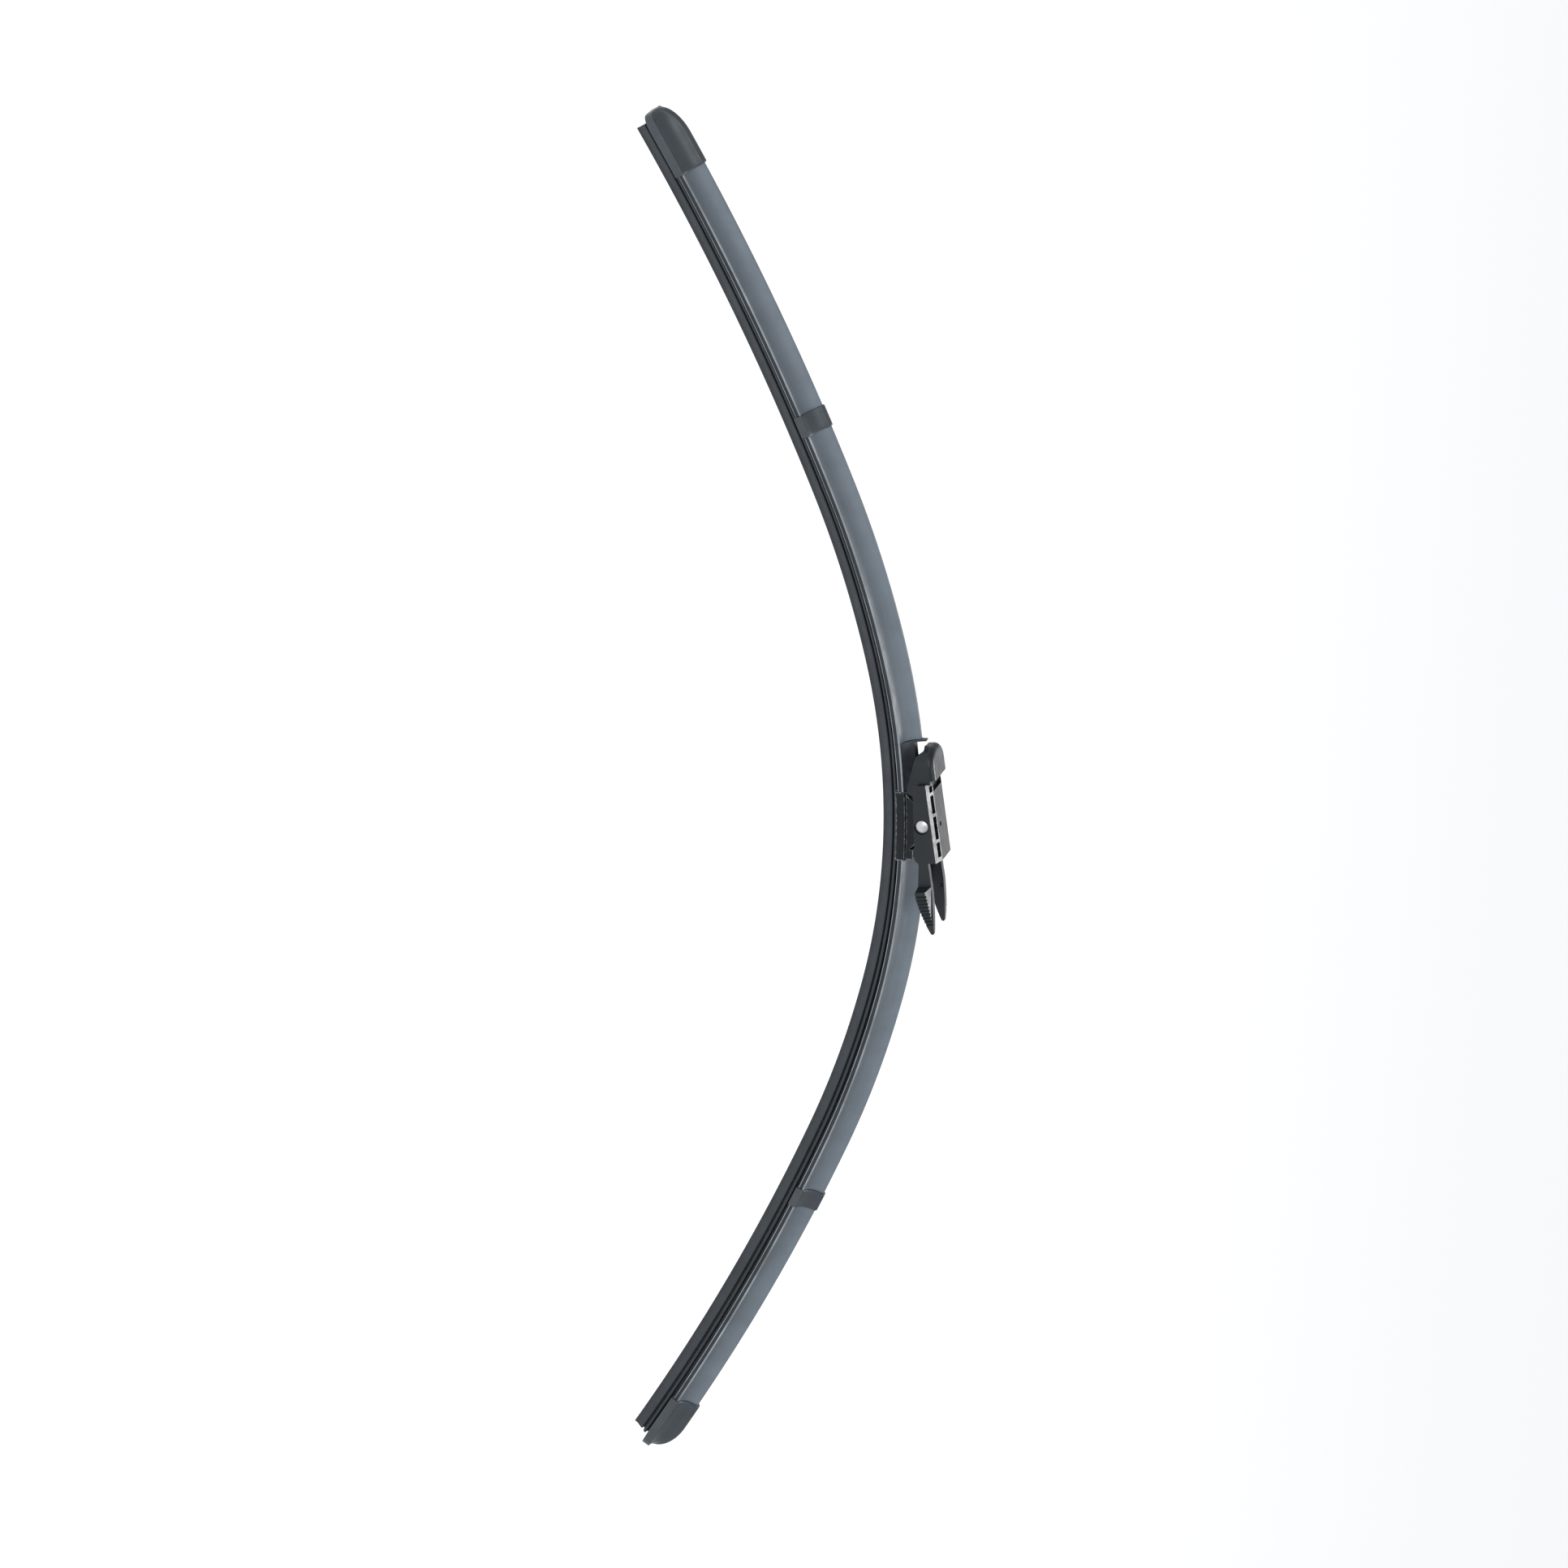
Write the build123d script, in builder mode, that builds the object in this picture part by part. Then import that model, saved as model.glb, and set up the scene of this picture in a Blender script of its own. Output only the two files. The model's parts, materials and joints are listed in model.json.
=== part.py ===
"""Beam-type windshield wiper blade with a riveted pinch-tab adapter.

Millimetres. The origin is the middle of the pivot rivet's axis. X runs along the blade (the
adapter's nose points to -X, the "front"), Y runs across it along the rivet, and +Z points away
from the glass. The blade is bowed: both its ends curve down towards the glass.
"""
from build123d import *
from math import asin, cos, degrees, radians, sin, sqrt
import os

# ---- bowed line of the blade: tangent arcs from the middle outwards, alike on both halves ----
bend_zones = ((63.5, 270.0), (63.5, 390.0), (150.0, 960.0))     # (arc length, radius)
flange_drop = 7.2          # from the rivet's axis down to the spoiler's flange line
rivet_lead = 3.9           # how far the rivet sits ahead of the middle of the bow
end_shift = 1.2            # how far the blade's two ends sit behind their even places

# ---- places along the line: these from the rivet ----
bracket_front, bracket_rear = -11.3, 14.4
fairing_front, fairing_rear = -29.3, -11.4
spoiler_front_stop, spoiler_rear_stop = -29.4, 14.5
# and these from the middle of the bow
clip_middle, clip_length, clip_web = 152.7, 7.8, 1.0
cap_mouth, cap_tip = 250.8, 275.0
spoiler_end = 257.6
link_start, link_end = 258.2, 261.6
strip_end = 262.2
rubber_end = 271.8

# ---- cross-section: y across the blade, v outwards from the flange line ----
flange_half, flange_top, flange_bottom = 6.0, 0.12, -1.95
flange_round = 0.25
fin_root_half, fin_half = 5.55, 0.8
fin_shoulder, fin_top = 5.93, 6.73
fin_hollow = 1.1           # how far each side sinks inside the straight line from root to ridge
core_floor, core_half, core_hollow, core_top = 1.2, 2.2, 0.55, 4.8
claw_gap_half = 4.2        # half width between the claws, under the strips
strip_inner, strip_outer = 1.2, 5.1
strip_bottom, strip_top = -1.35, -0.45
seat_play = 0.05
head_half, head_top = 2.4, 0.35
waist_half, shoulder_half, neck_half = 1.05, 2.9, 0.42
wedge_half, lip_half, lip_tip = 1.7, 0.32, -9.1
clip_grow, cap_grow = 0.6, 0.85
past_end = 0.5             # how far a cut along the blade runs on beyond the piece that it cuts
far = 20                   # depth of a cut that goes past every side of a piece

# ---- bracket, rivet and bush ----
bracket_half, bracket_top, bracket_bottom = 6.25, 1.1, -2.9
bracket_chamfer = 0.7
ear_inner, ear_outer, ear_radius = 4.5, 5.7, 2.7
ear_front, ear_rear = -10.6, 11.8       # feet of the ears' slanted edges
cross_wall_front, cross_wall_top = 10.2, -3.9    # closes the rear end between the ears
shank_radius, rivet_play = 1.7, 0.04
bush_radius = 2.5
head_radius, head_edge, head_dome = 2.3, 0.3, 0.5

# ---- adapter, in its own tilted frame: u along it, w outwards ----
adapter_tilt = 8.5         # as it rests, its nose leans down towards the blade
cheek_outer, cheek_inner = 8.8, 7.0
body_front, body_rear = -15.6, 13.6
cheek_top, plate_half, plate_top = 3.5, 5.0, 5.0
bevel_slope = (plate_top - cheek_top) / (cheek_outer - plate_half)
roof_underside = 2.9
body_bottom = -4.2
hood_half, hood_wall = 7.5, 1.15
nose_tip, nose_back, nose_top = -27.8, -16.6, 7.0
nose_round = 2.2
nose_corner = 6.2          # of its plan, at the front
plate_front = -12.0
rail_top = 5.0
slot_floor = 3.7
boss_radius, boss_inner = 3.2, 5.8
recess_radius, recess_depth = 2.65, 0.95
window_limits = ((-14.6, -12.2), (-11.0, -4.3), (-3.1, 5.4), (6.6, 12.0))
window_low, window_high = 1.9, 3.65     # distances up the bevel

# ---- pinch tabs ----
tab_middle, tab_half = 7.2, 1.1
tab_tip = 40.9
neck_top, neck_bottom = 0.5, -3.1
pad_front, pad_outer, pad_ledge = 23.2, 12.0, 8.5
rib_count, rib_pitch, rib_height = 9, 1.45, 0.45
dimple_u, dimple_w, dimple_radius = 27.2, -0.9, 0.9


# ---- geometry of the bowed line ----
def station(distance):
    """x, z and downward slope in radians of the flange line, at a distance from the bow's middle."""
    side = -1 if distance < 0 else 1
    left, x, z, slope = abs(distance), 0.0, -flange_drop, 0.0
    for length, radius in bend_zones:
        turn = min(left, length) / radius
        x += radius * (sin(slope + turn) - sin(slope))
        z -= radius * (cos(slope) - cos(slope + turn))
        slope += turn
        left -= min(left, length)
    return side * x + rivet_lead, z, side * slope


def across(distance):
    """Plane across the blade: its x is the width y, its y is the height v."""
    x, z, slope = station(distance)
    return Plane(origin=(x, 0, z), x_dir=(0, 1, 0), z_dir=(cos(slope), 0, -sin(slope)))


def zone_radius(distance):
    reach = 0.0
    for length, radius in bend_zones:
        reach += length
        if abs(distance) < reach:
            return radius


def blade_path(start, end):
    """Tangent arcs along the flange line, from one distance to another."""
    reach, limits = 0.0, [start, end]
    for length, _ in bend_zones:
        reach += length
        limits += [limit for limit in (-reach, reach) if start < limit < end]
    limits.sort()
    with BuildLine(Plane.XZ) as path:
        for first, last in zip(limits, limits[1:]):
            x, z, slope = station(first)
            radius = zone_radius((first + last) / 2)
            JernArc((x, z), (cos(slope), -sin(slope)), radius, -degrees((last - first) / radius))
    return path.wires()[0]


def run_along(section, start, end, mode=Mode.ADD):
    """Sweep a section function along the blade between two distances, into the open part."""
    sweep(sections=section(across(start)).faces(), path=blade_path(start, end), mode=mode)


# ---- sections of the blade ----
def mirrored_section(plane, points):
    """Face through the points of its right half and their mirror images."""
    with BuildSketch(plane) as section:
        with BuildLine():
            Polyline(*points, *[(-y, v) for y, v in reversed(points)], close=True)
        make_face()
    return section.sketch


def fin_section(plane, grow=0.0, bottom=flange_bottom, top=fin_top):
    """Flange, concave sides and rounded ridge, grown outwards by grow."""
    flange, shoulder = flange_half + grow, fin_shoulder + top - fin_top
    upper = flange_top + grow / 2
    root, fin, crest = fin_root_half + grow, fin_half + grow, top + grow
    r = flange_round
    with BuildSketch(plane) as section:
        with BuildLine():
            Line((0, crest), (0, bottom))
            Line((0, bottom), (flange - r, bottom))
            JernArc((flange - r, bottom), (1, 0), r, 90)
            Line((flange, bottom + r), (flange, upper - r))
            JernArc((flange, upper - r), (0, 1), r, 90)
            Line((flange - r, upper), (root, upper))
            SagittaArc((root, upper), (fin, shoulder), fin_hollow)
            ThreePointArc((fin, shoulder), (fin * cos(radians(45)), shoulder
                          + (crest - shoulder) * sin(radians(45))), (0, crest))
        make_face()
        mirror(about=Plane.YZ)
    return section.sketch


def core_section(plane):
    """Closed hollow inside the fin."""
    with BuildSketch(plane) as section:
        with BuildLine():
            Line((0, core_top), (0, core_floor))
            Line((0, core_floor), (core_half, core_floor))
            SagittaArc((core_half, core_floor), (0.15, core_top), core_hollow)
            Line((0.15, core_top), (0, core_top))
        make_face()
        mirror(about=Plane.YZ)
    return section.sketch


def seat_section(plane):
    """Room for both strips and the rubber's head, open below between the claws."""
    low, high = strip_bottom - seat_play, strip_top + seat_play
    return mirrored_section(plane, [
        (claw_gap_half, -6), (claw_gap_half, low), (strip_outer + seat_play, low),
        (strip_outer + seat_play, high), (head_half + 0.15, high), (head_half + 0.15, head_top + 0.1)])


def rubber_section(plane):
    """Lip, wedge, hinge neck, shoulder, waist and grooved head."""
    low, high = strip_bottom - seat_play / 2, strip_top + seat_play / 2
    return mirrored_section(plane, [
        (lip_half, lip_tip), (lip_half + 0.04, -7.9), (wedge_half, -5.75), (wedge_half, -5.3),
        (neck_half, -5.1), (neck_half, -4.7), (2.0, -4.5), (shoulder_half, -4.15),
        (shoulder_half, -3.4), (waist_half, -3.1), (waist_half, -2.15), (2.7, -1.95), (2.7, low),
        (strip_inner - seat_play, low), (strip_inner - seat_play, high), (head_half, high),
        (head_half, head_top)])


def bracket_section(plane):
    edge = bracket_half - bracket_chamfer
    return mirrored_section(plane, [
        (0, bracket_bottom), (bracket_half - 0.3, bracket_bottom), (bracket_half, bracket_bottom + 0.3),
        (bracket_half, bracket_top - bracket_chamfer), (edge, bracket_top)])


def link_section(plane):
    return mirrored_section(plane, [(0, -1.9), (5.55, -1.9), (5.75, -1.7), (5.75, 0.35), (5.55, 0.55)])


# ---- planes of the tilted adapter ----
tilt = radians(adapter_tilt)
u_axis, w_axis = Vector(cos(tilt), 0, sin(tilt)), Vector(-sin(tilt), 0, cos(tilt))
adapter_plan = Plane(origin=(0, 0, 0), x_dir=u_axis, z_dir=w_axis)               # x = u, y = y
adapter_side = Plane(origin=(0, 0, 0), x_dir=u_axis, z_dir=(0, -1, 0))           # x = u, y = w


def adapter_across(u):
    return Plane(origin=u_axis * u, x_dir=(0, 1, 0), z_dir=u_axis)               # x = y, y = w


def finish(piece, name):
    piece.part.label = name
    export_step(piece.part, f"parts/{name}.step")


os.makedirs("parts", exist_ok=True)

# ==== rubber element ====
with BuildPart() as rubber_element:
    run_along(rubber_section, end_shift - rubber_end, end_shift + rubber_end)
finish(rubber_element, "rubber_element")


# ==== spring strips: two flat bowed steels in the rubber's grooves ====
def strip_section(side):
    def section(plane):
        with BuildSketch(plane) as sketch:
            with Locations((side * (strip_inner + strip_outer) / 2, (strip_bottom + strip_top) / 2)):
                RectangleRounded(strip_outer - strip_inner, strip_top - strip_bottom, 0.2)
        return sketch.sketch
    return section


for name, side in (("spring_strip_left", 1), ("spring_strip_right", -1)):
    with BuildPart() as spring_strip:
        run_along(strip_section(side), end_shift - strip_end, end_shift + strip_end)
    finish(spring_strip, name)

# ==== spoiler: four hollow lengths whose flanges clasp the strips ====
spoiler_runs = {
    "spoiler_outer_front": (end_shift - spoiler_end, -clip_middle - clip_web),
    "spoiler_inner_front": (-clip_middle + clip_web, spoiler_front_stop - rivet_lead),
    "spoiler_inner_rear": (spoiler_rear_stop - rivet_lead, clip_middle - clip_web),
    "spoiler_outer_rear": (clip_middle + clip_web, end_shift + spoiler_end),
}
for name, (start, end) in spoiler_runs.items():
    with BuildPart() as spoiler:
        run_along(fin_section, start, end)
        run_along(seat_section, start - past_end, end + past_end, mode=Mode.SUBTRACT)
        run_along(core_section, start - past_end, end + past_end, mode=Mode.SUBTRACT)
    finish(spoiler, name)


# ==== spoiler clips: short sleeves, with a web between two spoiler ends ====
def sleeve_section(plane):
    return fin_section(plane, grow=clip_grow, bottom=flange_bottom - clip_grow)


def socket_section(plane):
    return fin_section(plane, grow=seat_play, bottom=flange_bottom - seat_play)


for name, side in (("spoiler_clip_front", -1), ("spoiler_clip_rear", 1)):
    middle = side * clip_middle
    half, web = clip_length / 2, clip_web - seat_play
    with BuildPart() as spoiler_clip:
        run_along(sleeve_section, middle - half, middle + half)
        run_along(seat_section, middle - half - past_end, middle + half + past_end, mode=Mode.SUBTRACT)
        run_along(socket_section, middle - half - past_end, middle - web, mode=Mode.SUBTRACT)
        run_along(socket_section, middle + web, middle + half + past_end, mode=Mode.SUBTRACT)
    finish(spoiler_clip, name)


# ==== end caps: rounded shells over the last of the spoiler, the strips and the rubber ====
def cap_section(plane):
    return fin_section(plane, grow=cap_grow, bottom=flange_bottom - 0.75)


def link_room_section(plane):
    return mirrored_section(plane, [(0, -6), (claw_gap_half, -6), (claw_gap_half, -2.0), (5.85, -2.0),
                                    (5.85, 0.65)])


def rubber_room_section(plane):
    return mirrored_section(plane, [(0, -6), (shoulder_half + 0.15, -6), (shoulder_half + 0.15, 0.45)])


cap_length = cap_tip - cap_mouth
cap_crest = fin_top + cap_grow
cap_shoulder = 11.5        # length of the straight ridge before the end rounds down
cap_corner = 3.5
for name, side in (("end_cap_front", -1), ("end_cap_rear", 1)):
    x, z, slope = station(end_shift + side * (cap_mouth + cap_length / 2))
    cap_side = Plane(origin=(x, 0, z), x_dir=(side * cos(slope), 0, -side * sin(slope)),
                     z_dir=(0, -side, 0))
    cap_plan = Plane(origin=(x, 0, z), x_dir=(side * cos(slope), 0, -side * sin(slope)),
                     z_dir=(sin(slope), 0, cos(slope)))
    with BuildPart() as end_cap:
        low, high = sorted((side * cap_mouth, side * cap_tip))
        run_along(cap_section, end_shift + low, end_shift + high)
        with BuildSketch(cap_side):                      # the end rounds down from ridge to foot
            with BuildLine():
                half, drop = cap_length / 2, cap_length - cap_shoulder
                Line((-half - 1, cap_crest + 1), (half - drop, cap_crest + 1))
                Line((half - drop, cap_crest + 1), (half - drop, cap_crest))
                EllipticalCenterArc((half - drop, 0.6), drop, cap_crest - 0.6, arc_size=90)
                Line((half, 0.6), (half - 0.4, -4))
                Line((half - 0.4, -4), (-half - 1, -4))
                Line((-half - 1, -4), (-half - 1, cap_crest + 1))
            make_face()
        extrude(amount=far, both=True, mode=Mode.INTERSECT)
        with BuildSketch(cap_plan.offset(-5)):           # and its sides round in towards the tip
            with Locations((-cap_corner, 0)):
                RectangleRounded(cap_length + 2 * cap_corner, 2 * (flange_half + cap_grow), cap_corner)
        extrude(amount=far, mode=Mode.INTERSECT)
        for section, end in ((socket_section, spoiler_end + seat_play), (link_room_section, strip_end + 0.1),
                             (rubber_room_section, rubber_end + 0.1)):
            low, high = sorted((side * (cap_mouth - past_end), side * end))
            run_along(section, end_shift + low, end_shift + high, mode=Mode.SUBTRACT)
    finish(end_cap, name)

# ==== strip links: steel channels that tie the strips' ends inside the caps ====
for name, side in (("strip_link_front", -1), ("strip_link_rear", 1)):
    low, high = sorted((side * link_start, side * link_end))
    with BuildPart() as strip_link:
        run_along(link_section, end_shift + low, end_shift + high)
        run_along(seat_section, end_shift + low - past_end, end_shift + high + past_end,
                  mode=Mode.SUBTRACT)
    finish(strip_link, name)

# ==== connector bracket: channel on the strips with two upright ears for the rivet ====
with BuildPart() as connector_bracket:
    run_along(bracket_section, bracket_front - rivet_lead, bracket_rear - rivet_lead)
    with BuildSketch(Plane.XZ):
        Circle(ear_radius)
        with BuildLine():
            Line((ear_front, -flange_drop + 0.4), (ear_rear, -flange_drop + 0.4))
        make_hull()
    extrude(amount=ear_outer, both=True)
    with BuildSketch(Plane.XZ):
        with Locations((0, bracket_top - flange_drop)):
            Rectangle(30, 12, align=(Align.CENTER, Align.MIN))
    extrude(amount=ear_inner, both=True, mode=Mode.SUBTRACT)
    with BuildSketch(Plane.XZ):
        with Locations((cross_wall_front, cross_wall_top)):
            Rectangle(bracket_rear - cross_wall_front - 0.6, cross_wall_top + flange_drop,
                      align=(Align.MIN, Align.MAX))
    extrude(amount=ear_outer, both=True)
    with BuildSketch(Plane.XZ):
        Circle(shank_radius + rivet_play)
    extrude(amount=far, both=True, mode=Mode.SUBTRACT)
    run_along(seat_section, bracket_front - rivet_lead - past_end, bracket_rear - rivet_lead + past_end,
              mode=Mode.SUBTRACT)
finish(connector_bracket, "connector_bracket")

# ==== connector fairing: filler under the adapter's hood, with a crest at its front ====
crest_top, crest_back_top = 8.9, 8.3       # above the flange line
crest_length = 0.75
saddle_top = 4.2                           # leaves the hood's nose free to move


def crested_section(plane):
    return fin_section(plane, top=crest_top)


with BuildPart() as connector_fairing:
    start, end = fairing_front - rivet_lead, fairing_rear - rivet_lead
    run_along(crested_section, start, end)
    front_x, front_z, _ = station(start)
    rear_x, rear_z, _ = station(end)
    with BuildSketch(Plane.XZ):
        with BuildLine():
            Polyline((front_x - 1, front_z + crest_top + 0.6), (front_x + crest_length,
                     front_z + crest_back_top), (front_x + crest_length, front_z + saddle_top),
                     (rear_x + 1, rear_z + saddle_top), (rear_x + 1, 8), (front_x - 1, 8), close=True)
        make_face()
    extrude(amount=far, both=True, mode=Mode.SUBTRACT)
    run_along(seat_section, start - past_end, end + past_end, mode=Mode.SUBTRACT)
finish(connector_fairing, "connector_fairing")

# ==== pivot rivet: shank with a domed head in each cheek's recess ====
head_seat = cheek_outer - recess_depth + 0.05
dome_radius = (head_radius ** 2 + head_dome ** 2) / (2 * head_dome)
dome_angle = degrees(asin(head_radius / dome_radius))
with BuildPart() as pivot_rivet:
    with BuildSketch(Plane.XY):
        with BuildLine():
            Line((0, 0), (shank_radius, 0))
            Line((shank_radius, 0), (shank_radius, head_seat))
            Line((shank_radius, head_seat), (head_radius, head_seat))
            Line((head_radius, head_seat), (head_radius, head_seat + head_edge))
            CenterArc((0, head_seat + head_edge + head_dome - dome_radius), dome_radius,
                      90 - dome_angle, dome_angle)
            Line((0, head_seat + head_edge + head_dome), (0, 0))
        make_face()
    revolve(axis=Axis.Y)
    mirror(about=Plane.XZ)
finish(pivot_rivet, "pivot_rivet")

# ==== pivot bush: spacer tube on the rivet between the ears ====
with BuildPart() as pivot_bush:
    with BuildSketch(Plane.XZ):
        Circle(bush_radius)
        Circle(shank_radius + rivet_play, mode=Mode.SUBTRACT)
    extrude(amount=ear_inner - 0.05, both=True)
finish(pivot_bush, "pivot_bush")


# ==== adapter: hood with a domed nose, then two cheeks under a bevelled roof ====
def hood_plan(plane, inset):
    """Plan of the hood: parallel sides and a round front."""
    half, front, corner = hood_half - inset, nose_tip + inset, nose_corner - inset
    with BuildSketch(plane) as plan:
        with BuildLine():
            Line((front + corner, -half), (-6, -half))
            Line((-6, -half), (-6, half))
            Line((-6, half), (front + corner, half))
            JernArc((front + corner, half), (-1, 0), corner, 90)
            Line((front, half - corner), (front, corner - half))
            JernArc((front, corner - half), (0, -1), corner, 90)
        make_face()
    return plan.sketch


with BuildPart() as hood:
    extrude(hood_plan(adapter_plan.offset(body_bottom - 1), 0), amount=nose_top - body_bottom + 1)
    fillet(hood.faces().sort_by(Axis((0, 0, 0), w_axis))[-1].edges().sort_by(Axis((0, 0, 0), u_axis))[:-1],
           radius=nose_round)
    with BuildSketch(adapter_side):
        with BuildLine():
            Polyline((nose_tip - 1, 3.2), (nose_tip - 1, nose_top + 1), (nose_back, nose_top + 1),
                     (nose_back, rail_top), (body_front + 0.4, rail_top), (body_front + 0.4, -0.8),
                     (-10.9, -1.7), (-12.6, -4.0), (-13.4, -3.9), (-25.4, 0.6), (-26.8, 3.2), close=True)
        make_face()
    extrude(amount=far, both=True, mode=Mode.INTERSECT)

with BuildPart() as hood_hollow:
    extrude(hood_plan(adapter_plan.offset(-9), hood_wall), amount=far)
    with BuildSketch(adapter_side):
        with BuildLine():
            Polyline((-26.7, -9), (-26.7, 4.6), (-21.0, 4.6), (-20.0, roof_underside),
                     (-6, roof_underside), (-6, -9), close=True)
        make_face()
    extrude(amount=far, both=True, mode=Mode.INTERSECT)

with BuildPart() as adapter_body:
    # bevelled roof on two cheeks
    with BuildSketch(adapter_across(body_front)):
        with BuildLine():
            Polyline((-cheek_outer, body_bottom), (-cheek_outer, cheek_top), (-plate_half, plate_top),
                     (plate_half, plate_top), (cheek_outer, cheek_top), (cheek_outer, body_bottom),
                     close=True)
        make_face()
    extrude(amount=body_rear - body_front)
    # lower edge of the cheeks, slanting down towards the tabs and rounded up at the rear
    with BuildSketch(adapter_side):
        with BuildLine():
            Line((body_front - 1, -1.0), (-10.7, -1.7))
            Line((-10.7, -1.7), (11.2, -4.1))
            RadiusArc((11.2, -4.1), (body_rear + 0.1, -2.0), -2.3)
            Line((body_rear + 0.1, -2.0), (body_rear + 0.1, -9))
            Line((body_rear + 0.1, -9), (body_front - 1, -9))
            Line((body_front - 1, -9), (body_front - 1, -1.0))
        make_face()
    extrude(amount=far, both=True, mode=Mode.SUBTRACT)
    # front corners of the cheeks taper in to the hood
    for side in (1, -1):
        with BuildSketch(adapter_plan.offset(-9)):
            with BuildLine():
                Polyline((body_front - 0.1, side * (hood_half + 0.1)), (body_front - 0.1, side * 10),
                         (body_front + 2.6, side * 10), (body_front + 2.6, side * cheek_outer), close=True)
            make_face()
        extrude(amount=9.5, mode=Mode.SUBTRACT)
    add(hood.part)
    # hollow underneath, between the cheeks and inside the hood
    with BuildSketch(adapter_side):
        with BuildLine():
            Polyline((body_front + 1.2, -9), (body_front + 1.2, roof_underside),
                     (body_rear + 1, roof_underside), (body_rear + 1, -9), close=True)
        make_face()
    extrude(amount=cheek_inner - 0.7, both=True, mode=Mode.SUBTRACT)
    with BuildSketch(adapter_side):
        with BuildLine():
            Polyline((-9.5, -9), (-9.5, roof_underside), (9.8, roof_underside), (9.8, -9), close=True)
        make_face()
    extrude(amount=cheek_inner, both=True, mode=Mode.SUBTRACT)
    add(hood_hollow.part, mode=Mode.SUBTRACT)
    # bosses that meet the bracket's ears, the rivet's holes and the recesses of its heads
    with BuildSketch(Plane.XZ):
        Circle(boss_radius)
    extrude(amount=cheek_inner + 0.2, both=True)
    with BuildSketch(adapter_side):
        with Locations((0, roof_underside)):
            Rectangle(20, 20, align=(Align.CENTER, Align.MAX))
    extrude(amount=boss_inner, both=True, mode=Mode.SUBTRACT)
    with BuildSketch(Plane.XZ):
        Circle(shank_radius + rivet_play)
    extrude(amount=far, both=True, mode=Mode.SUBTRACT)
    for side in (1, -1):
        with BuildSketch(Plane(origin=(0, side * cheek_outer, 0), x_dir=(1, 0, 0), z_dir=(0, side, 0))):
            Circle(recess_radius)
        extrude(amount=-recess_depth, mode=Mode.SUBTRACT)
    # slot behind the nose, undercut below its lip
    with BuildSketch(adapter_side):
        with BuildLine():
            Polyline((nose_back, nose_top + 1), (nose_back, 5.5), (nose_back - 1.8, 5.5),
                     (nose_back - 1.8, slot_floor), (plate_front, slot_floor),
                     (plate_front, nose_top + 1), close=True)
        make_face()
    extrude(amount=plate_half, both=True, mode=Mode.SUBTRACT)
    # windows through the bevels
    rise, run = plate_top - cheek_top, cheek_outer - plate_half
    bevel = sqrt(rise ** 2 + run ** 2)
    for side in (1, -1):
        edge = Vector(0, side * cheek_outer, 0) + w_axis * cheek_top
        normal = Vector(0, side * rise, 0) + w_axis * run
        up_bevel = Vector(0, -side * run / bevel, 0) + w_axis * (rise / bevel)
        for first, last in window_limits:
            middle = edge + u_axis * ((first + last) / 2) + up_bevel * ((window_low + window_high) / 2)
            with BuildSketch(Plane(origin=middle, x_dir=u_axis, z_dir=normal).offset(0.5)):
                Rectangle(last - first, window_high - window_low)
            extrude(amount=-2.7, mode=Mode.SUBTRACT)
    # small drain hole in the top plate
    with BuildSketch(adapter_plan.offset(roof_underside - 0.5)):
        with Locations((1.0, -2.0)):
            Circle(0.9)
    extrude(amount=3.5, mode=Mode.SUBTRACT)
    # sockets for the roots of the pinch tabs
    for side in (1, -1):
        with BuildSketch(adapter_plan.offset(neck_bottom - 0.1)):
            with Locations((body_rear, side * tab_middle)):
                Circle(tab_half + seat_play)
        extrude(amount=neck_top - neck_bottom + 0.2, mode=Mode.SUBTRACT)
finish(adapter_body, "adapter_body")

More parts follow.
